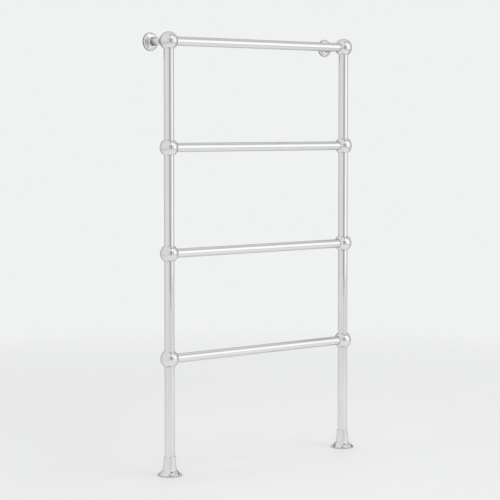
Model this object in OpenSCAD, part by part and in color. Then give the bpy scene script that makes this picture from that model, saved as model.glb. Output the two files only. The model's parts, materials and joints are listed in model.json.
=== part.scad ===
// Floor-standing ball-jointed towel warmer.
// Two posts rise from bell-shaped feet, four cross bars join them at hollow balls, and two short
// brackets behind the top balls reach back to the wall. Heating water passes through both feet.
// X runs along the bars, +Y points to the wall, +Z is up. The origin lies on the floor, in the
// middle of the box around the whole rack.

/* [Overall] */
// Height from the floor to the crown of the top balls
rail_height = 1200; // [1160:5:1500]
// Width over the outer sides of the balls
rail_width = 700; // [400:10:900]
// Distance between the centre lines of two neighbouring cross bars
bar_pitch = 285.8; // [220:0.2:310]
// Distance from the wall to the centre lines of the posts
wall_distance = 82; // [80:1:84]

/* [Balls and tubes] */
// Diameter of every ball
ball_d = 50; // [49:0.5:52]
// Outer diameter of the upright tubes
post_d = 27; // [26:0.1:27]
// Wall thickness of the upright tubes
post_wall = 1.5; // [1.2:0.1:1.6]
// Outer diameter of the cross bars
bar_d = 25; // [22:0.5:25]
// Wall thickness of the cross bars
bar_wall = 1.2; // [1:0.1:1.5]
// Gap all round between a tube and its socket, filled when the joint is brazed
socket_gap = 0.05; // [0.03:0.01:0.08]

/* [Feet] */
// Diameter of the bell cover where it meets the floor
bell_d = 66.6; // [65:0.2:72]
// Height of the bell cover
bell_h = 52.5; // [45:0.5:70]
// Height of the neck, where the sleeve turns into the flare
bell_neck_h = 17; // [16:0.5:20]
// Height of the upright rim round the flare
bell_rim_h = 3.5; // [2.5:0.1:3.8]
// How far each cover can be raised up its post
cover_travel = 240; // [20:5:240]
// Diameter of the circle that the floor fixing holes lie on
floor_hole_circle = 41.6; // [41.2:0.1:41.8]
// Diameter of each floor fixing hole
floor_hole_d = 5.5; // [4.5:0.1:5.5]

/* [Wall brackets] */
// Diameter of the rose that lies against the wall
rose_d = 50; // [49:0.5:60]
// Diameter of the bracket stem
stem_d = 14; // [12:0.5:14]
// Distance between the two wall fixing screws
wall_hole_spacing = 30; // [29.5:0.1:30.5]
// Diameter of each wall fixing hole
wall_hole_d = 4.5; // [4:0.1:4.6]

/* [Hidden] */
$fn = 96;
SIDES = ["left", "right"];
ROWS = ["bottom", "lower", "upper", "top"];
SPANS = ["leg", "lower", "middle", "upper"];
top_row = len(ROWS) - 1;

chrome = "#d2d5d8";
brass = "#c2a45e";
steel = "#8d9196";
rubber = "#2c2c2e";

// A cut runs this far past the face it opens.
past = 1;
// Play between pieces that slide or turn on each other.
slide_play = 0.08;
// Play round a fixing that is screwed or brazed in place.
seat_play = 0.05;

// Frame
ball_r = ball_d / 2;
post_r = post_d / 2;
bar_r = bar_d / 2;
post_x = rail_width / 2 - ball_r;
post_y = -(wall_distance - bell_d / 2) / 2;
top_z = rail_height - ball_r;
// Distance from a ball's centre to the shoulder that every tube end rests on.
socket_floor = 14.5;
// Width and depth of the fine groove round each tube where it enters a ball.
groove_w = 0.5;
groove_z = 20;
// Height at which a top ball's waterway ends.
waterway_top = 10;

// Foot, from the floor up
gasket_t = 1.5;
gasket_hole_play = 0.5;
flange_t = 3;
flange_r = 26;
flange_lip = 1.5;
flange_hub_r = 15.8;
flange_hub_top = 15.5;
floor_holes = 4;
floor_head_d = 9.2;
inlet_mouth_r = 11;
post_foot_z = gasket_t + flange_lip;
insert_h = 18;
insert_thread_r = 9.3;
insert_thread_h = 15;
insert_waterway_r = 7;

// Bell cover
bell_wall = 1.3;
bell_rim_wall = 1.8;
bell_rim_round = 0.5;
// How far the flare's curve is pulled out and down between the neck and the rim.
flare_pull = 6.4;
flare_drop = 5.7;
bell_neck_r = 18.4;
bell_top_r = 15.2;
bell_top_round = 1.2;
bell_r = bell_d / 2;
bell_bore_r = post_r + slide_play;
// Height at which the hollow of the flare has narrowed to the bore.
bell_bore_z = bell_neck_h + 0.5 + bell_neck_r - bell_wall - bell_bore_r;
grip_ring_z = 28;
grip_ring_r = 0.85;
grip_ring_play = 0.03;
grip_groove_h = 2;
flare_steps = 14;

// Wall bracket, measured from the wall towards the ball
plate_r = 20;
plate_t = 3;
plate_hub_r = 10.5;
plate_hub_top = 11;
plate_screw_z = 7;
plate_screw_r = 2.5;
plate_screw_l = 3.2;
plate_screw_key = 2.9;
wall_head_d = 8.2;
rose_r = rose_d / 2;
rose_wall = 1.2;
rose_rim = 3;
rose_h = 9.5;
rose_hole_r = 11.2;
rose_boss_r = 14;
rose_steps = 12;
collar_bead_r = 13.3;
collar_bead_h = 7;
collar_base_r = 12.6;
collar_tip_r = 8.3;
collar_tip = 47;
collar_hollow_r = 11;
collar_hollow_top = 12.6;
collar_screw_z = 24;
collar_screw_r = 2;
collar_screw_l = 3.8;
collar_screw_key = 2.3;
stem_r = stem_d / 2;
stem_seat = 23.2;
spigot_r = 5;
spigot_l = 8.5;

// Air bleed, measured outward from the ball's centre
bleed_seat = 23.6;
bleed_hex = 11;
bleed_corner_r = bleed_hex / 2 / cos(30);
bleed_thread_r = 4.75;
bleed_bore_r = 2.58;
bleed_inner_end = 14;
bleed_screw_seat = 17;
bleed_seal_t = 1;
bleed_face = 27.4;
bleed_key = 3.4;
bleed_key_from = 25;
bleed_key_end = 28.6;
bleed_vent_r = 0.7;
bleed_port_r = 1;

function side_x(side) = side == "left" ? -post_x : post_x;
function row_z(row) = top_z - (top_row - row) * bar_pitch;
// Point at t, from 0 to 1, on the curve that leaves a for c and arrives at b.
function bow(a, c, b, t) = a * (1 - t) * (1 - t) + c * 2 * t * (1 - t) + b * t * t;
// Point at the given angle on a circle of radius r about centre c.
function on_circle(c, r, angle) = c + r * [cos(angle), sin(angle)];
// Points on a rounded corner of radius r about centre c, from angle a0 to a1.
function corner(c, r, a0, a1) = [for (k = [0:6]) on_circle(c, r, a0 + (a1 - a0) * k / 6)];

module tube(r, wall, from, to) {
    difference() {
        rod(r, from, to);
        rod(r - wall, from - past, to + past);
    }
}

// A rod along +Z from one height to another, which also serves as the cutter for a hole.
module rod(r, from, to) {
    translate([0, 0, from]) cylinder(r = r, h = to - from);
}

// A countersunk hole through a plate whose outer face is at height top.
module screw_hole(d, head_d, thickness, top) {
    rod(d / 2, top - thickness - past, top + past);
    head_depth = (head_d - d) / 2;
    translate([0, 0, top - head_depth]) cylinder(d1 = d, d2 = head_d + 2 * past, h = head_depth + past);
}

// Turns +Z into the direction in which the bar leaves this side's ball.
module toward_bar(side) rotate([0, side == "left" ? 90 : -90, 0]) children();

// Turns +Z into the direction from the wall to the ball, with its zero on the wall.
module from_wall(side) {
    translate([side_x(side), post_y + wall_distance, top_z]) rotate([90, 0, 0]) children();
}

module at_foot(side) translate([side_x(side), post_y, 0]) children();

// Turns +Z into the outward direction of the ball that carries the air bleed.
module at_bleed() translate([post_x, post_y, top_z]) rotate([0, 90, 0]) children();

// One socket for a tube of radius r, with the waterway that leads on from it.
module socket(r, wall) {
    rod(r + socket_gap, socket_floor, ball_r + past);
    rod(r + groove_w, groove_z, ball_r + past);
    rod(r - wall - socket_gap, 0, socket_floor + past);
}

module ball(side, row) {
    at_top = row == top_row;
    color(chrome) translate([side_x(side), post_y, row_z(row)]) difference() {
        sphere(r = ball_r);
        mirror([0, 0, 1]) socket(post_r, post_wall);
        toward_bar(side) socket(bar_r, bar_wall);
        if (!at_top) socket(post_r, post_wall);
        if (at_top) {
            rod(bar_r - bar_wall - socket_gap, -past, waterway_top);
            rotate([-90, 0, 0]) rod(stem_r + 2 * seat_play, stem_seat, ball_r + past);
            rotate([-90, 0, 0]) rod(spigot_r + seat_play, stem_seat - spigot_l - seat_play, ball_r);
        }
        if (at_top && side == "right") rotate([0, 90, 0]) {
            rod(bleed_corner_r + 4 * seat_play, bleed_seat, ball_r + past);
            rod(bleed_thread_r + seat_play, 0, ball_r);
        }
    }
}

module post(side, span) {
    from = span == 0 ? post_foot_z : row_z(span - 1) + socket_floor;
    color(chrome) at_foot(side) tube(post_r, post_wall, from, row_z(span) - socket_floor);
}

module bar(row) {
    half = post_x - socket_floor;
    color(chrome) translate([0, post_y, row_z(row)]) rotate([0, 90, 0]) tube(bar_r, bar_wall, -half, half);
}

module floor_holes_at(turn) {
    for (k = [0:floor_holes - 1])
        rotate([0, 0, turn + k * 360 / floor_holes]) translate([floor_hole_circle / 2, 0, 0]) children();
}

module floor_gasket(side) {
    color(rubber) at_foot(side) difference() {
        cylinder(r = flange_r, h = gasket_t);
        rod(inlet_mouth_r, -past, gasket_t + past);
        floor_holes_at(45) rod(floor_hole_d / 2 + gasket_hole_play, -past, gasket_t + past);
    }
}

module floor_flange(side) {
    top = gasket_t + flange_t;
    color(brass) at_foot(side) difference() {
        union() {
            rod(flange_r, gasket_t, top);
            rod(flange_hub_r, gasket_t, flange_hub_top);
        }
        rod(inlet_mouth_r, 0, flange_hub_top);
        rod(post_r + seat_play, post_foot_z, flange_hub_top + past);
        floor_holes_at(45) screw_hole(floor_hole_d, floor_head_d, flange_t, top);
    }
}

module inlet_insert(side) {
    color(brass) at_foot(side) translate([0, 0, post_foot_z]) difference() {
        cylinder(r = post_r - post_wall - seat_play, h = insert_h);
        rod(insert_thread_r, -past, insert_thread_h);
        rod(insert_waterway_r, 0, insert_h + past);
    }
}

// Outer line of the bell cover from the top of its sleeve to the floor.
function bell_outside() = concat(
    corner([bell_top_r - bell_top_round, bell_h - bell_top_round], bell_top_round, 90, 4),
    [for (k = [0:flare_steps]) bow(
        [bell_neck_r, bell_neck_h],
        [bell_neck_r + flare_pull, bell_rim_h + flare_drop],
        [bell_r - bell_rim_round, bell_rim_h],
        k / flare_steps
    )],
    [[bell_r, bell_rim_h - bell_rim_round], [bell_r, 0]]
);

// Inner line of the bell cover from the floor up to its bore.
function bell_inside() = concat(
    [[bell_r - bell_rim_wall, 0], [bell_r - bell_rim_wall, bell_rim_h - 2 * bell_wall + past]],
    [for (k = [flare_steps:-1:0]) bow(
        [bell_neck_r - bell_wall, bell_neck_h],
        [bell_neck_r - bell_wall + flare_pull, bell_rim_h + flare_drop - bell_wall],
        [bell_r - bell_rim_wall - bell_rim_round, bell_rim_h - bell_wall],
        k / flare_steps
    )],
    [
        [bell_neck_r - bell_wall, bell_neck_h + 0.5],
        [bell_bore_r, bell_bore_z],
        [bell_bore_r, bell_h]
    ]
);

module foot_cover(side) {
    color(chrome) at_foot(side) difference() {
        rotate_extrude() polygon(concat(bell_outside(), bell_inside()));
        translate([0, 0, grip_ring_z]) cylinder(
            r = post_r + grip_ring_play + 2 * grip_ring_r + seat_play,
            h = grip_groove_h,
            center = true
        );
    }
}

module grip_ring(side) {
    color(rubber) at_foot(side) translate([0, 0, grip_ring_z]) rotate_extrude()
        translate([post_r + grip_ring_play + grip_ring_r, 0]) circle(r = grip_ring_r);
}

module wall_plate(side) {
    color(steel) from_wall(side) difference() {
        union() {
            cylinder(r = plate_r, h = plate_t);
            cylinder(r = plate_hub_r, h = plate_hub_top);
        }
        rod(stem_r + seat_play, plate_t, plate_hub_top + past);
        for (x = [-1, 1] * wall_hole_spacing / 2)
            translate([x, 0, 0]) screw_hole(wall_hole_d, wall_head_d, plate_t, plate_t);
        translate([0, 0, plate_screw_z]) rotate([90, 0, 0])
            rod(plate_screw_r, stem_r, plate_hub_r + past);
    }
}

// A headless screw with a hexagon socket, its tip just off the stem and its length downwards.
module set_screw(thread_r, length, key, distance) {
    tip = stem_r + seat_play;
    translate([0, 0, distance]) rotate([90, 0, 0]) difference() {
        rod(thread_r - seat_play, tip, tip + length);
        translate([0, 0, tip + length / 2]) cylinder(d = key, h = length, $fn = 6);
    }
}

module plate_screw(side) {
    color(steel) from_wall(side)
        set_screw(plate_screw_r, plate_screw_l, plate_screw_key, plate_screw_z);
}

module collar_screw(side) {
    color(steel) from_wall(side)
        set_screw(collar_screw_r, collar_screw_l, collar_screw_key, collar_screw_z);
}

module bracket_stem(side) {
    shoulder = wall_distance - stem_seat;
    color(chrome) from_wall(side) union() {
        rod(stem_r, plate_t, shoulder);
        rod(spigot_r, plate_t, shoulder + spigot_l);
    }
}

// Outer line of the rose, from its hole down the domed face to the wall.
function rose_outside() = concat(
    [[rose_hole_r, rose_h], [rose_boss_r, rose_h]],
    [for (k = [1:rose_steps]) bow(
        [rose_boss_r, rose_h],
        [rose_r - 1, rose_h - 1.5],
        [rose_r, rose_rim],
        k / rose_steps
    )],
    [[rose_r, 0]]
);

// Inner line of the rose, from the wall back up under the face to its hole.
function rose_inside() = concat(
    [[rose_r - rose_wall, 0]],
    [for (k = [rose_steps:-1:1]) bow(
        [rose_boss_r, rose_h - rose_wall],
        [rose_r - 2.4, rose_h - 2.8],
        [rose_r - rose_wall, rose_rim - 0.4],
        k / rose_steps
    )],
    [[rose_hole_r, rose_h - rose_wall]]
);

module wall_rose(side) {
    color(chrome) from_wall(side) rotate_extrude() polygon(concat(rose_outside(), rose_inside()));
}

// Profile of the conical collar, from the bead that presses on the rose to its rounded tip.
function collar_profile() = concat(
    [[collar_hollow_r, rose_h]],
    corner([collar_bead_r - 0.6, rose_h + 0.6], 0.6, -90, 0),
    corner([collar_bead_r - 1.4, rose_h + collar_bead_h - 1.4], 1.4, 0, 60),
    [[collar_base_r - 0.5, rose_h + collar_bead_h + 0.3]],
    corner([collar_tip_r - 0.8, collar_tip - 0.8], 0.8, 10, 90),
    [[stem_r + slide_play, collar_tip], [stem_r + slide_play, collar_hollow_top + 2]],
    [[collar_hollow_r, collar_hollow_top]]
);

module rose_collar(side) {
    color(chrome) from_wall(side) difference() {
        rotate_extrude() polygon(collar_profile());
        translate([0, 0, collar_screw_z]) rotate([90, 0, 0])
            rod(collar_screw_r, stem_r - past, collar_bead_r + past);
    }
}

module bleed_valve_body() {
    color(brass) at_bleed() difference() {
        union() {
            rod(bleed_thread_r, bleed_inner_end, bleed_face - past);
            rotate([0, 0, 30])
                rod(bleed_corner_r, bleed_seat + bleed_seal_t, bleed_face, $fn = 6);
        }
        rod(bleed_bore_r, bleed_screw_seat, bleed_face + past);
        rod(bleed_port_r, bleed_inner_end - past, bleed_screw_seat + past);
        translate([0, 0, (bleed_seat + bleed_seal_t + bleed_face) / 2])
            rotate([0, 90, 0]) rod(bleed_vent_r, 0, bleed_hex);
    }
}

module bleed_seal() {
    color(rubber) at_bleed() translate([0, 0, bleed_seat]) difference() {
        cylinder(d = bleed_hex, h = bleed_seal_t);
        rod(bleed_thread_r + seat_play, -past, bleed_seal_t + past);
    }
}

module bleed_screw() {
    key_root = bleed_key_from - past;
    color(steel) at_bleed() union() {
        rod(bleed_bore_r - slide_play, bleed_screw_seat + seat_play, bleed_key_from);
        translate([-bleed_key / 2, -bleed_key / 2, key_root])
            cube([bleed_key, bleed_key, bleed_key_end - key_root]);
    }
}

for (side = SIDES, row = [0:top_row])
    ball(side, row);
for (side = SIDES, span = [0:len(SPANS) - 1])
    post(side, span);
for (row = [0:top_row])
    bar(row);
for (side = SIDES) {
    floor_gasket(side);
    floor_flange(side);
    inlet_insert(side);
    foot_cover(side);
    grip_ring(side);
    wall_plate(side);
    plate_screw(side);
    bracket_stem(side);
    wall_rose(side);
    rose_collar(side);
    collar_screw(side);
}
bleed_valve_body();
bleed_seal();
bleed_screw();
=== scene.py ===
import math

import bmesh
import bpy
from mathutils import Matrix, Vector
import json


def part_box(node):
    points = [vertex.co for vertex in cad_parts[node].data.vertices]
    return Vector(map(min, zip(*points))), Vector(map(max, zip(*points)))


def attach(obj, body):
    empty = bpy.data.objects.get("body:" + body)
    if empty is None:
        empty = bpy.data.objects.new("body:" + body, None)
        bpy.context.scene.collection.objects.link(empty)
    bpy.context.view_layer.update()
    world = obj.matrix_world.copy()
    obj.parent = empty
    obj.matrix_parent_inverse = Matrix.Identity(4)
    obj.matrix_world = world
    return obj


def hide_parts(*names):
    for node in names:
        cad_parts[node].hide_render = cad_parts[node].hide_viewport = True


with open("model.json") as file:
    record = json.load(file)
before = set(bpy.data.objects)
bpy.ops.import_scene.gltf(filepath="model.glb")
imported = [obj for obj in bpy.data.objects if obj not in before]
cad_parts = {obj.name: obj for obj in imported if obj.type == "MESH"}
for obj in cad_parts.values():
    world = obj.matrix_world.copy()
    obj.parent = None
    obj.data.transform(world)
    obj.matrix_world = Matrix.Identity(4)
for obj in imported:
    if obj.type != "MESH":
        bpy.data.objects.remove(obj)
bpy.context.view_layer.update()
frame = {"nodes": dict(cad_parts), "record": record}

SIDES = ("left", "right")
ROWS = ("bottom", "lower", "upper", "top")
SPANS = ("leg", "lower", "middle", "upper")
MM = 0.001


# ---------------------------------------------------------------- places read from the frame

def centre(node):
    low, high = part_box(node)
    return (low + high) / 2


POST = {side: centre(f"post_{side}_upper") for side in SIDES}
ROW_Z = {row: centre(f"bar_{row}").z for row in ROWS}
POST_Y = POST["left"].y
WALL_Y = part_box("wall_plate_left")[1].y
FLOOR_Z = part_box("foot_cover_left")[0].z
POST_R = (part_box("post_left_upper")[1].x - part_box("post_left_upper")[0].x) / 2
BAR_R = (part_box("bar_top")[1].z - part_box("bar_top")[0].z) / 2
BALL_R = 25 * MM


# ---------------------------------------------------------------- materials

def new_material(name, base, metallic, roughness):
    """A material with one Principled shader; returns the material, its node tree and the shader."""
    material = bpy.data.materials.new(name)
    material.use_nodes = True
    tree = material.node_tree
    shader = tree.nodes["Principled BSDF"]
    shader.inputs["Base Color"].default_value = (*base, 1)
    shader.inputs["Metallic"].default_value = metallic
    shader.inputs["Roughness"].default_value = roughness
    return material, tree, shader


def noise(tree, scale, detail, stretch=(1, 1, 1)):
    """Noise in the object's own coordinates. A stretch below 1 draws it out along that axis, as a grain."""
    place = tree.nodes.new("ShaderNodeTexCoord")
    mapping = tree.nodes.new("ShaderNodeMapping")
    texture = tree.nodes.new("ShaderNodeTexNoise")
    mapping.inputs["Scale"].default_value = stretch
    texture.inputs["Scale"].default_value = scale
    texture.inputs["Detail"].default_value = detail
    tree.links.new(place.outputs["Object"], mapping.inputs["Vector"])
    tree.links.new(mapping.outputs["Vector"], texture.inputs["Vector"])
    return texture.outputs["Fac"]


def spread(tree, value, low, high, start=0.3, end=0.7):
    """Maps value from start..end onto low..high."""
    mapped = tree.nodes.new("ShaderNodeMapRange")
    mapped.inputs["From Min"].default_value = start
    mapped.inputs["From Max"].default_value = end
    mapped.inputs["To Min"].default_value = low
    mapped.inputs["To Max"].default_value = high
    tree.links.new(value, mapped.inputs["Value"])
    return mapped.outputs["Result"]


def tint(tree, value, low, high):
    """The colour low where value is 0, and high where it is 1."""
    mix = tree.nodes.new("ShaderNodeMix")
    mix.data_type = "RGBA"
    mix.inputs["A"].default_value = (*low, 1)
    mix.inputs["B"].default_value = (*high, 1)
    tree.links.new(value, mix.inputs["Factor"])
    return mix.outputs["Result"]


def bump(tree, shader, height, distance, strength):
    """Relief of the given distance in the shader's normal."""
    relief = tree.nodes.new("ShaderNodeBump")
    relief.inputs["Distance"].default_value = distance
    relief.inputs["Strength"].default_value = strength
    tree.links.new(height, relief.inputs["Height"])
    tree.links.new(relief.outputs["Normal"], shader.inputs["Normal"])


def polished_chrome():
    """Mirror chrome with a faint cloudiness, left by polishing and by wiping."""
    material, tree, shader = new_material("polished_chrome", (0.815, 0.82, 0.808), 1.0, 0.04)
    shader.inputs["Specular Tint"].default_value = (0.55, 0.55, 0.55, 1)
    cloud = noise(tree, 14, 3)
    wiped = noise(tree, 60, 2, (1, 1, 0.3))
    colour = tint(tree, spread(tree, cloud, 0, 1), (0.805, 0.81, 0.798), (0.825, 0.83, 0.818))
    tree.links.new(colour, shader.inputs["Base Color"])
    tree.links.new(spread(tree, wiped, 0.03, 0.055), shader.inputs["Roughness"])
    return material


def machined_brass():
    """Bare brass with turning marks and darker stains."""
    material, tree, shader = new_material("machined_brass", (0.78, 0.60, 0.30), 1.0, 0.28)
    turned = noise(tree, 900, 2, (1, 1, 3))
    stain = noise(tree, 60, 4)
    colour = tint(tree, spread(tree, stain, 0, 1), (0.70, 0.52, 0.25), (0.84, 0.66, 0.36))
    tree.links.new(colour, shader.inputs["Base Color"])
    tree.links.new(spread(tree, stain, 0.2, 0.38), shader.inputs["Roughness"])
    bump(tree, shader, turned, 0.02 * MM, 0.4)
    return material


def plated_steel():
    """Zinc-plated steel, cloudy in patches, with a fine rolled grain."""
    material, tree, shader = new_material("plated_steel", (0.60, 0.61, 0.63), 1.0, 0.34)
    patch = noise(tree, 110, 5)
    grain = noise(tree, 1400, 2, (1, 1, 0.15))
    colour = tint(tree, spread(tree, patch, 0, 1), (0.52, 0.54, 0.57), (0.68, 0.68, 0.68))
    tree.links.new(colour, shader.inputs["Base Color"])
    tree.links.new(spread(tree, patch, 0.26, 0.42), shader.inputs["Roughness"])
    bump(tree, shader, grain, 0.02 * MM, 0.5)
    return material


def black_rubber():
    """Matt black rubber with a little dust."""
    material, tree, shader = new_material("black_rubber", (0.03, 0.03, 0.032), 0.0, 0.62)
    dust = noise(tree, 240, 5)
    colour = tint(tree, spread(tree, dust, 0, 1), (0.022, 0.022, 0.024), (0.05, 0.05, 0.052))
    tree.links.new(colour, shader.inputs["Base Color"])
    tree.links.new(spread(tree, dust, 0.5, 0.75), shader.inputs["Roughness"])
    bump(tree, shader, dust, 0.05 * MM, 0.4)
    return material


MATERIALS = {
    "polished_chrome": polished_chrome(),
    "machined_brass": machined_brass(),
    "plated_steel": plated_steel(),
    "black_rubber": black_rubber(),
}
SLOT_OF = {row["node"]: row["material_slot"] for row in frame["record"]["subparts"]}
BODY_OF = {node: body for body, nodes in frame["record"]["behaviour"]["bodies"].items() for node in nodes}


def dress(obj, slot):
    """Gives a piece the material of its slot."""
    obj.data.materials.clear()
    obj.data.materials.append(MATERIALS[slot])


CAD_SHARP_ANGLE = math.radians(30)

for name, node in frame["nodes"].items():
    dress(node, SLOT_OF[name])
    node.data.shade_smooth()
    node.data.set_sharp_from_angle(angle=CAD_SHARP_ANGLE)


# ---------------------------------------------------------------- turned and ball-shaped pieces

TURN_STEPS = 128
TUBE_STEPS = 96
SHARP_ANGLE = math.radians(24)


def arc(centre_r, centre_z, radius, start, end, steps=8):
    """Points (r, z) on an arc of a profile, with angles in degrees from the +r direction."""
    points = []
    for k in range(steps + 1):
        a = math.radians(start + (end - start) * k / steps)
        points.append((centre_r + radius * math.cos(a), centre_z + radius * math.sin(a)))
    return points


def bow(a, c, b, steps=24):
    """Points on the curve that leaves a towards c and arrives at b from c."""
    points = []
    for k in range(steps + 1):
        t = k / steps
        points.append(tuple(a[i] * (1 - t) ** 2 + 2 * c[i] * t * (1 - t) + b[i] * t * t for i in (0, 1)))
    return points


def supported(profile, closed, hold=0.12 * MM):
    """Adds a holding point near each end of a long straight stretch, so that its shading stays straight."""
    out = []
    count = len(profile)
    for k in range(count if closed else count - 1):
        a, b = profile[k], profile[(k + 1) % count]
        out.append(a)
        length = math.dist(a, b)
        if length > 4 * hold:
            for share in (hold / length, 1 - hold / length):
                out.append(tuple(a[i] + (b[i] - a[i]) * share for i in (0, 1)))
    if not closed:
        out.append(profile[-1])
    return out


def finish_mesh(name, mesh_data, body, slot, replaced=()):
    """Turns a bmesh into a piece that rides on a body and stands for the CAD nodes named."""
    bmesh.ops.remove_doubles(mesh_data, verts=mesh_data.verts, dist=1e-7)
    bmesh.ops.recalc_face_normals(mesh_data, faces=mesh_data.faces)
    mesh = bpy.data.meshes.new(name)
    mesh_data.to_mesh(mesh)
    mesh_data.free()
    mesh.shade_smooth()
    mesh.set_sharp_from_angle(angle=SHARP_ANGLE)
    piece = bpy.data.objects.new(name, mesh)
    bpy.context.scene.collection.objects.link(piece)
    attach(piece, body)
    dress(piece, slot)
    if replaced:
        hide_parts(*replaced)
    return piece


def ring_faces(mesh_data, lower, upper):
    """Joins two rings of vertices; a ring of one vertex is a point on the axis."""
    count = max(len(lower), len(upper))
    for k in range(count):
        n = (k + 1) % count
        below = [lower[k % len(lower)], lower[n % len(lower)]]
        above = [upper[n % len(upper)], upper[k % len(upper)]]
        face = list(dict.fromkeys(below + above))
        if len(face) > 2:
            mesh_data.faces.new(face)


def turned(mesh_data, profile, place, closed=True, steps=TURN_STEPS):
    """Revolves a profile of (r, z) points about the local Z axis of place."""
    rings = []
    for r, z in supported(profile, closed):
        if r < 1e-9:
            rings.append([mesh_data.verts.new(place @ Vector((0, 0, z)))])
            continue
        ring = []
        for k in range(steps):
            a = 2 * math.pi * k / steps
            ring.append(mesh_data.verts.new(place @ Vector((r * math.cos(a), r * math.sin(a), z))))
        rings.append(ring)
    for k in range(len(rings) if closed else len(rings) - 1):
        ring_faces(mesh_data, rings[k], rings[(k + 1) % len(rings)])


# Turns that send the local Z axis up, along +X, along -X, to the room, to the wall and down.
UP = Matrix.Identity(3)
ALONG_X = Matrix.Rotation(math.radians(90), 3, "Y")
ALONG_MINUS_X = Matrix.Rotation(math.radians(-90), 3, "Y")
TO_ROOM = Matrix.Rotation(math.radians(90), 3, "X")
TO_WALL = Matrix.Rotation(math.radians(-90), 3, "X")
DOWN = Matrix.Rotation(math.radians(180), 3, "X")


def placed(origin, turn=UP):
    """The place whose local Z axis starts at origin and points where turn sends it."""
    return Matrix.Translation(origin) @ turn.to_4x4()


# ---------------------------------------------------------------- tubes

def make_tube(node, turn, wall, end_chamfer=0.3 * MM):
    """A tube along its longest side, with turned-down edges at both ends."""
    low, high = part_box(node)
    size = high - low
    half = max(size) / 2
    radius = min(size) / 2
    bore = radius - wall
    profile = [
        (bore, -half), (radius - end_chamfer, -half), (radius, -half + end_chamfer),
        (radius, half - end_chamfer), (radius - end_chamfer, half), (bore, half),
    ]
    mesh_data = bmesh.new()
    turned(mesh_data, profile, placed((low + high) / 2, turn), steps=TUBE_STEPS)
    return finish_mesh(f"{node}_shown", mesh_data, BODY_OF[node], SLOT_OF[node], [node])


for side in SIDES:
    for span in SPANS:
        make_tube(f"post_{side}_{span}", UP, 1.5 * MM)
for row in ROWS:
    make_tube(f"bar_{row}", ALONG_X, 1.2 * MM)


# ---------------------------------------------------------------- balls

BALL_STEPS = 96
BALL_RINGS = 16
GROOVE_W = 0.5 * MM
GROOVE_DEPTH = 20 * MM
SOCKET_FLOOR = 14.5 * MM
SOCKET_PLAY = 0.05 * MM
LIP = 0.25 * MM
# The seat's radius, the distances of seat and bore floor from the ball's centre, and the bore's radius.
STEM_SEAT = (7.1 * MM, 23.2 * MM, 14.65 * MM, 5.05 * MM)
BLEED_SEAT = (6.6 * MM, 23.6 * MM, 13.9 * MM, 4.8 * MM)


def socket_profile(tube_r):
    """From the ball's surface down into a socket: lip, fine groove round the tube, bore and floor."""
    lip_r = tube_r + GROOVE_W + LIP
    surface = math.sqrt(BALL_R ** 2 - lip_r ** 2)
    return [
        (lip_r, surface), (tube_r + GROOVE_W, surface - LIP), (tube_r + GROOVE_W, GROOVE_DEPTH),
        (tube_r + SOCKET_PLAY, GROOVE_DEPTH), (tube_r + SOCKET_PLAY, SOCKET_FLOOR), (0, SOCKET_FLOOR),
    ]


def seat_profile(seat_r, seat_depth, floor_depth, bore_r):
    """From the ball's surface down to a flat seat, and on into a threaded bore."""
    lip_r = seat_r + LIP / 2
    surface = math.sqrt(BALL_R ** 2 - lip_r ** 2)
    return [
        (lip_r, surface), (seat_r, seat_depth),
        (bore_r, seat_depth), (bore_r, floor_depth), (0, floor_depth),
    ]


def ball_patch(mesh_data, place, profile):
    """One sixth of the ball, facing the local Z axis, with a socket in its middle if there is a profile.

    Its outer edge is where the neighbouring sixths meet it."""
    inner = math.asin(profile[0][0] / BALL_R) if profile else 0
    angles = [2 * math.pi * k / BALL_STEPS for k in range(BALL_STEPS)]
    rings = []
    for k in range(BALL_RINGS + 1):
        ring = []
        for a in angles:
            outer = math.atan(1 / max(abs(math.cos(a)), abs(math.sin(a))))
            polar = inner + (outer - inner) * k / BALL_RINGS
            flat = BALL_R * math.sin(polar)
            point = Vector((flat * math.cos(a), flat * math.sin(a), BALL_R * math.cos(polar)))
            ring.append(mesh_data.verts.new(place @ point))
            if polar < 1e-9:
                break
        rings.append(ring)
    for k in range(BALL_RINGS):
        ring_faces(mesh_data, rings[k], rings[k + 1])
    if profile:
        turned(mesh_data, profile, place, closed=False, steps=BALL_STEPS)


def make_ball(side, row):
    """A ball with a socket for each tube that meets it, and seats for bracket stem and bleed valve."""
    node = f"ball_{side}_{row}"
    middle = Vector((POST[side].x, POST_Y, ROW_Z[row]))
    to_bar, to_outside = (ALONG_X, ALONG_MINUS_X) if side == "left" else (ALONG_MINUS_X, ALONG_X)
    top = row == "top"
    sockets = [(DOWN, socket_profile(POST_R)), (to_bar, socket_profile(BAR_R)), (TO_ROOM, None)]
    sockets.append((UP, None if top else socket_profile(POST_R)))
    sockets.append((TO_WALL, seat_profile(*STEM_SEAT) if top else None))
    bleed = top and side == "right"
    sockets.append((to_outside, seat_profile(*BLEED_SEAT) if bleed else None))
    mesh_data = bmesh.new()
    for turn, profile in sockets:
        ball_patch(mesh_data, placed(middle, turn), profile)
    return finish_mesh(f"{node}_shown", mesh_data, BODY_OF[node], SLOT_OF[node], [node])


for side in SIDES:
    for row in ROWS:
        make_ball(side, row)


# ---------------------------------------------------------------- feet

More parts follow.
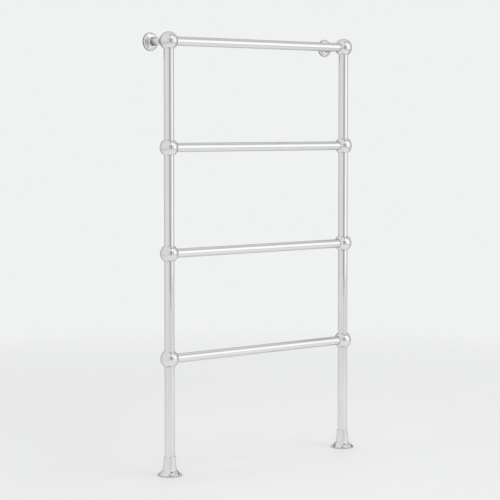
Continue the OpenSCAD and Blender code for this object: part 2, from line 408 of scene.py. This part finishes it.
def make_foot_cover(side):
    """The bell cover: a tapered sleeve with a rounded top edge, a crisp neck, and a flare with a low rim.

    The rim is cut back underneath, so that it mirrors its own shadow as a fine dark line."""
    node = f"foot_cover_{side}"
    low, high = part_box(node)
    rim_r = (high.x - low.x) / 2
    height = high.z - low.z
    neck_r, neck_z = 18.4 * MM, 17 * MM
    top_r, top_round = 15.2 * MM, 1.2 * MM
    rim_h, rim_round, rim_wall, wall = 3.5 * MM, 0.7 * MM, 3.2 * MM, 1.3 * MM
    undercut = 2.2 * MM
    # How far the flare's guiding point lies outside the neck and above the rim.
    pull, drop = 5.2 * MM, 5.2 * MM
    play, lead_in, straight = 0.08 * MM, 0.3 * MM, 0.5 * MM
    bore_r = POST_R + play
    bore_z = neck_z + straight + neck_r - wall - bore_r
    outside = arc(bore_r + lead_in, height - lead_in, lead_in, 180, 90, steps=4)
    outside += arc(top_r - top_round, height - top_round, top_round, 90, 4)
    outside += bow((neck_r, neck_z), (neck_r + pull, rim_h + drop), (rim_r - rim_round, rim_h))
    outside += arc(rim_r - rim_round, rim_h - rim_round, rim_round, 70, 0, steps=6)
    outside += [(rim_r, undercut), (rim_r - undercut, 0)]
    inside = [(rim_r - rim_wall, 0), (rim_r - rim_wall, rim_h - wall - 0.4 * MM)]
    inside += reversed(bow((neck_r - wall, neck_z), (neck_r - wall + pull, rim_h + drop - wall),
                           (rim_r - rim_wall - 0.5 * MM, rim_h - wall)))
    inside += [(neck_r - wall, neck_z + straight), (bore_r, bore_z)]
    mesh_data = bmesh.new()
    turned(mesh_data, outside + inside, placed(Vector((POST[side].x, POST_Y, low.z))))
    return finish_mesh(f"{node}_shown", mesh_data, BODY_OF[node], SLOT_OF[node], [node])


for side in SIDES:
    make_foot_cover(side)


# ---------------------------------------------------------------- wall brackets

def bracket_place(side):
    """Local Z runs from the wall towards the ball, with its zero on the wall."""
    return placed(Vector((POST[side].x, WALL_Y, ROW_Z["top"])), TO_ROOM)


def make_rose(side):
    """The dished disc on the wall, hollow behind, with a hole for the bracket stem."""
    node = f"wall_rose_{side}"
    low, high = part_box(node)
    rose_r = (high.x - low.x) / 2
    height = high.y - low.y
    hole_r, boss_r, wall, rim, edge = 11.2 * MM, 14 * MM, 1.2 * MM, 3 * MM, 0.3 * MM
    outside = [(hole_r, height), (boss_r - edge, height)]
    outside += bow((boss_r, height - 0.1 * MM), (rose_r - 1 * MM, height - 1.5 * MM), (rose_r, rim))
    outside += [(rose_r, edge), (rose_r - edge, 0)]
    inside = [(rose_r - wall, 0)]
    inside += reversed(bow((boss_r, height - wall), (rose_r - 2.4 * MM, height - 2.8 * MM),
                           (rose_r - wall, rim - 0.4 * MM)))
    inside += [(hole_r, height - wall)]
    mesh_data = bmesh.new()
    turned(mesh_data, outside + inside, bracket_place(side))
    return finish_mesh(f"{node}_shown", mesh_data, BODY_OF[node], SLOT_OF[node], [node])


def make_collar(side):
    """The cone in front of the rose: a round bead at its foot, a taper, and a bore for the bracket stem."""
    node = f"rose_collar_{side}"
    low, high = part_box(node)
    start, tip = WALL_Y - high.y, WALL_Y - low.y
    bead_r, bead_h, base_r, tip_r = 13.3 * MM, 7 * MM, 12.6 * MM, 8.3 * MM
    hollow_r, hollow_top, hollow_slope, bore_r = 11 * MM, 12.6 * MM, 2 * MM, 7.08 * MM
    foot_round, bead_round, tip_round = 0.6 * MM, 1.4 * MM, 0.8 * MM
    profile = [(hollow_r, start)]
    profile += arc(bead_r - foot_round, start + foot_round, foot_round, -90, 0)
    profile += arc(bead_r - bead_round, start + bead_h - bead_round, bead_round, 0, 60)
    profile += [(base_r - 0.5 * MM, start + bead_h + 0.3 * MM)]
    profile += arc(tip_r - tip_round, tip - tip_round, tip_round, 10, 90)
    profile += [(bore_r, tip), (bore_r, hollow_top + hollow_slope), (hollow_r, hollow_top)]
    mesh_data = bmesh.new()
    turned(mesh_data, profile, bracket_place(side))
    return finish_mesh(f"{node}_shown", mesh_data, BODY_OF[node], SLOT_OF[node], [node])


for side in SIDES:
    make_rose(side)
    make_collar(side)


# ---------------------------------------------------------------- floor

# The floor lies this far under the feet, so that the two don't share a plane.
FLOOR_GAP = 0.05 * MM


def make_floor():
    """A plain pale floor that fades out before its edge, so that no horizon line shows."""
    radius, fade_start, fade_end = 3.4, 1.2, 3.2
    material, tree, shader = new_material("pale_floor", (0.80, 0.805, 0.80), 0.0, 0.55)
    place = tree.nodes.new("ShaderNodeTexCoord")
    length = tree.nodes.new("ShaderNodeVectorMath")
    length.operation = "LENGTH"
    clear = tree.nodes.new("ShaderNodeBsdfTransparent")
    mix = tree.nodes.new("ShaderNodeMixShader")
    tree.links.new(place.outputs["Object"], length.inputs[0])
    tree.links.new(spread(tree, length.outputs["Value"], 0, 1, fade_start, fade_end), mix.inputs["Fac"])
    tree.links.new(shader.outputs["BSDF"], mix.inputs[1])
    tree.links.new(clear.outputs["BSDF"], mix.inputs[2])
    tree.links.new(mix.outputs["Shader"], tree.nodes["Material Output"].inputs["Surface"])
    mesh_data = bmesh.new()
    bmesh.ops.create_circle(mesh_data, cap_ends=True, segments=96, radius=radius)
    mesh = bpy.data.meshes.new("floor")
    mesh_data.to_mesh(mesh)
    mesh_data.free()
    mesh.materials.append(material)
    floor = bpy.data.objects.new("floor", mesh)
    floor.location = (0, 0, FLOOR_Z - FLOOR_GAP)
    bpy.context.scene.collection.objects.link(floor)


# ---------------------------------------------------------------- room, lights and cards

def calculate(tree, operation, *values):
    """One arithmetic node; each value is a number or another node's output."""
    node = tree.nodes.new("ShaderNodeMath")
    node.operation = operation
    for socket, value in zip(node.inputs, values):
        if isinstance(value, (int, float)):
            socket.default_value = value
        else:
            tree.links.new(value, socket)
    return node.outputs["Value"]


def mixed(tree, share, from_value, to_value):
    """from_value where share is 0 and to_value where it is 1."""
    step = calculate(tree, "SUBTRACT", to_value, from_value)
    return calculate(tree, "MULTIPLY_ADD", step, share, from_value)


def band(tree, value, low, high, soft):
    """1 where value lies between low and high, falling to 0 over soft on either side."""
    up = spread(tree, value, 0, 1, low - soft, low + soft)
    down = spread(tree, value, 1, 0, high - soft, high + soft)
    return calculate(tree, "MULTIPLY", up, down)


def ramp(tree, value, stops):
    """Grey levels by value, from 0 to 1, easing from one stop to the next."""
    node = tree.nodes.new("ShaderNodeValToRGB")
    node.color_ramp.interpolation = "EASE"
    elements = node.color_ramp.elements
    while len(elements) < len(stops):
        elements.new(0.5)
    for element, (place, level) in zip(elements, stops):
        element.position = place
        element.color = (level, level, level, 1)
    tree.links.new(value, node.inputs["Fac"])
    return node.outputs["Color"]


# Brightness of the room round the rack at eye level, by the direction's bearing: 0 is +X, 90 is the wall.
ROOM_BY_BEARING = (
    (-180, 0.86), (-150, 0.82), (-122, 0.76), (-104, 0.74), (-88, 0.78), (-62, 0.84),
    (-30, 0.84), (-8, 0.80), (15, 0.74), (50, 0.72), (95, 0.74), (128, 0.78), (160, 0.84), (180, 0.86),
)
# Brightness of the ceiling, and the elevations between which the walls turn into it.
CEILING = 0.84
CEILING_FROM, CEILING_TO = 18, 45
# Bright and dark patches: brightness, bearings with their soft edge, elevations with theirs.
CEILING_LAMP = (1.8, (-82, -52, 3), (36, 48, 2))
LINTEL = (0.66, (-56, 6, 5), (35, 60, 2))
# A dark round fitting on the ceiling: brightness, direction, and the cosines of its soft edge.
CEILING_ROSE = (0.15, (0.06, -0.35, 0.935), 0.986, 0.992)
# Brightness below the horizon, and the elevations between which it takes over.
FLOOR_TONE = 0.66
FLOOR_FROM, FLOOR_TO = -10, -14
BACKGROUND = 0.88


def make_world():
    """A bright room that the chrome mirrors: pale walls, a ceiling with a lamp and a dark round fitting, and
    a dark lintel over the window. The camera sees a plain background instead."""
    world = bpy.data.worlds.new("studio")
    bpy.context.scene.world = world
    world.use_nodes = True
    tree = world.node_tree
    place = tree.nodes.new("ShaderNodeTexCoord")
    parts = tree.nodes.new("ShaderNodeSeparateXYZ")
    tree.links.new(place.outputs["Generated"], parts.inputs["Vector"])
    angle = calculate(tree, "ARCTAN2", parts.outputs["Y"], parts.outputs["X"])
    bearing = calculate(tree, "MULTIPLY", angle, 180 / math.pi)
    elevation = calculate(tree, "MULTIPLY", calculate(tree, "ARCSINE", parts.outputs["Z"]), 180 / math.pi)
    turn = spread(tree, bearing, 0, 1, -180, 180)
    # A ramp's colours stop at 1, so it holds half of each level.
    light = ramp(tree, turn, [((b + 180) / 360, level / 2) for b, level in ROOM_BY_BEARING])
    light = calculate(tree, "MULTIPLY", light, 2)
    light = mixed(tree, spread(tree, elevation, 0, 1, CEILING_FROM, CEILING_TO), light, CEILING)
    for tone, bearings, elevations in (CEILING_LAMP, LINTEL):
        across = band(tree, bearing, *bearings)
        upward = band(tree, elevation, *elevations)
        light = mixed(tree, calculate(tree, "MULTIPLY", across, upward), light, tone)
    tone, direction, start, full = CEILING_ROSE
    rose = tree.nodes.new("ShaderNodeVectorMath")
    rose.operation = "DOT_PRODUCT"
    tree.links.new(place.outputs["Generated"], rose.inputs[0])
    rose.inputs[1].default_value = direction
    light = mixed(tree, spread(tree, rose.outputs["Value"], 0, 1, start, full), light, tone)
    light = mixed(tree, spread(tree, elevation, 1, 0, FLOOR_TO, FLOOR_FROM), light, FLOOR_TONE)
    path = tree.nodes.new("ShaderNodeLightPath")
    light = mixed(tree, path.outputs["Is Camera Ray"], light, BACKGROUND)
    tree.links.new(light, tree.nodes["Background"].inputs["Strength"])
    tree.nodes["Background"].inputs["Color"].default_value = (0.99, 1.0, 1.0, 1)


def make_light(name, spot, toward, width, height, power):
    """A soft rectangular light at spot that the camera doesn't see."""
    data = bpy.data.lights.new(name, "AREA")
    data.shape = "RECTANGLE"
    data.size = width
    data.size_y = height
    data.energy = power
    light = bpy.data.objects.new(name, data)
    light.location = spot
    light.rotation_euler = (Vector(toward) - Vector(spot)).to_track_quat("-Z", "Y").to_euler()
    light.visible_camera = False
    bpy.context.scene.collection.objects.link(light)
    return light


def make_lights():
    """A tall window in front, to the right, and a broad soft light overhead that chrome doesn't mirror."""
    make_light("window", (1.85, -2.2, 1.6), (1.85, 0, 1.6), width=2.5, height=2.6, power=7.5)
    overhead = make_light("overhead", (0, -0.4, 3.2), (0, -0.1, 0), width=3.6, height=3.6, power=42)
    overhead.visible_glossy = False


def fading_tone(name, tone):
    """A material of an even grey tone that its mix shader can fade out; 0 shows the tone and 1 nothing.

    Returns the material, its node tree and the mix shader."""
    material = bpy.data.materials.new(name)
    material.use_nodes = True
    tree = material.node_tree
    tree.nodes.remove(tree.nodes["Principled BSDF"])
    glow = tree.nodes.new("ShaderNodeEmission")
    glow.inputs["Color"].default_value = (tone, tone, tone, 1)
    clear = tree.nodes.new("ShaderNodeBsdfTransparent")
    mix = tree.nodes.new("ShaderNodeMixShader")
    tree.links.new(glow.outputs["Emission"], mix.inputs[1])
    tree.links.new(clear.outputs["BSDF"], mix.inputs[2])
    tree.links.new(mix.outputs["Shader"], tree.nodes["Material Output"].inputs["Surface"])
    return material, tree, mix


def reflected_only(name, mesh_data, material):
    """A stage piece that neither the camera nor the floor sees, and that shows in reflections."""
    mesh = bpy.data.meshes.new(name)
    mesh_data.to_mesh(mesh)
    mesh_data.free()
    mesh.materials.append(material)
    piece = bpy.data.objects.new(name, mesh)
    piece.visible_camera = False
    piece.visible_diffuse = False
    piece.visible_shadow = False
    bpy.context.scene.collection.objects.link(piece)
    return piece


def make_card(name, bearing, distance, width, low, high, tone, soft=0.05):
    """An upright card that gives the chrome a dark accent. It fades in over soft from one upright edge."""
    material, tree, mix = fading_tone(name, tone)
    place = tree.nodes.new("ShaderNodeTexCoord")
    parts = tree.nodes.new("ShaderNodeSeparateXYZ")
    tree.links.new(place.outputs["Object"], parts.inputs["Vector"])
    fade = spread(tree, parts.outputs["X"], 1, 0, -width / 2, -width / 2 + soft)
    tree.links.new(fade, mix.inputs["Fac"])
    mesh_data = bmesh.new()
    corners = [(-width / 2, 0, low), (width / 2, 0, low), (width / 2, 0, high), (-width / 2, 0, high)]
    mesh_data.faces.new([mesh_data.verts.new(corner) for corner in corners])
    card = reflected_only(name, mesh_data, material)
    turn = math.radians(bearing)
    card.location = (distance * math.cos(turn), distance * math.sin(turn), 0)
    card.rotation_euler = (0, 0, turn - math.pi / 2)


def make_cards():
    """Two dark cards and a soft shade in front of the rack, and two soft ones behind it."""
    make_card("shade_card", bearing=-111, distance=3.3, width=1.9, low=0.2, high=2.6, tone=0.46, soft=1.5)
    make_card("wide_card", bearing=-104, distance=3.0, width=0.42, low=0.15, high=2.3, tone=0.14)
    make_card("narrow_card", bearing=-79.3, distance=1.93, width=0.14, low=0.3, high=1.9, tone=0.05)
    make_card("rear_card", bearing=75, distance=1.7, width=0.6, low=0.35, high=1.9, tone=0.25, soft=0.3)
    make_card("far_card", bearing=20, distance=1.7, width=0.5, low=0.35, high=1.9, tone=0.25, soft=0.25)


def make_wall_shade(side):
    """The shade that a rose would throw on its wall, down and to the left."""
    name = f"wall_shade_{side}"
    low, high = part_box(f"wall_rose_{side}")
    rose_r = (high.x - low.x) / 2
    gap, reach = 0.2 * MM, 24 * MM
    dark_reach = 0.1 * reach
    fall = Vector((-8, 0, -5)) * MM
    material, tree, mix = fading_tone(name, 0.1)
    place = tree.nodes.new("ShaderNodeTexCoord")
    length = tree.nodes.new("ShaderNodeVectorMath")
    length.operation = "DISTANCE"
    tree.links.new(place.outputs["Object"], length.inputs[0])
    length.inputs[1].default_value = fall
    fade = spread(tree, length.outputs["Value"], 0, 1, rose_r + dark_reach, rose_r + reach)
    tree.links.new(fade, mix.inputs["Fac"])
    mesh_data = bmesh.new()
    ring = [(rose_r + gap, 0), (rose_r + reach + fall.length, 0)]
    turned(mesh_data, ring, placed(Vector((0, 0, 0)), TO_ROOM), closed=False)
    shade = reflected_only(name, mesh_data, material)
    shade.location = ((low.x + high.x) / 2, WALL_Y, (low.z + high.z) / 2)


# ---------------------------------------------------------------- camera

def make_camera():
    """A long lens just above the third ball from the floor, looking slightly down from the room's left."""
    azimuth, pitch = -41.038, -3.338
    data = bpy.data.cameras.new("camera")
    data.sensor_width = 36
    data.lens = 127.92
    data.shift_y = -0.045
    camera = bpy.data.objects.new("camera", data)
    camera.location = Vector((-3.2978, -3.7468 + POST_Y, 0.9527))
    camera.rotation_euler = (math.radians(90 + pitch), 0, math.radians(azimuth))
    bpy.context.scene.collection.objects.link(camera)
    bpy.context.scene.camera = camera


make_floor()
make_world()
make_lights()
make_cards()
for side in SIDES:
    make_wall_shade(side)
make_camera()
bpy.context.scene.view_settings.view_transform = "Standard"
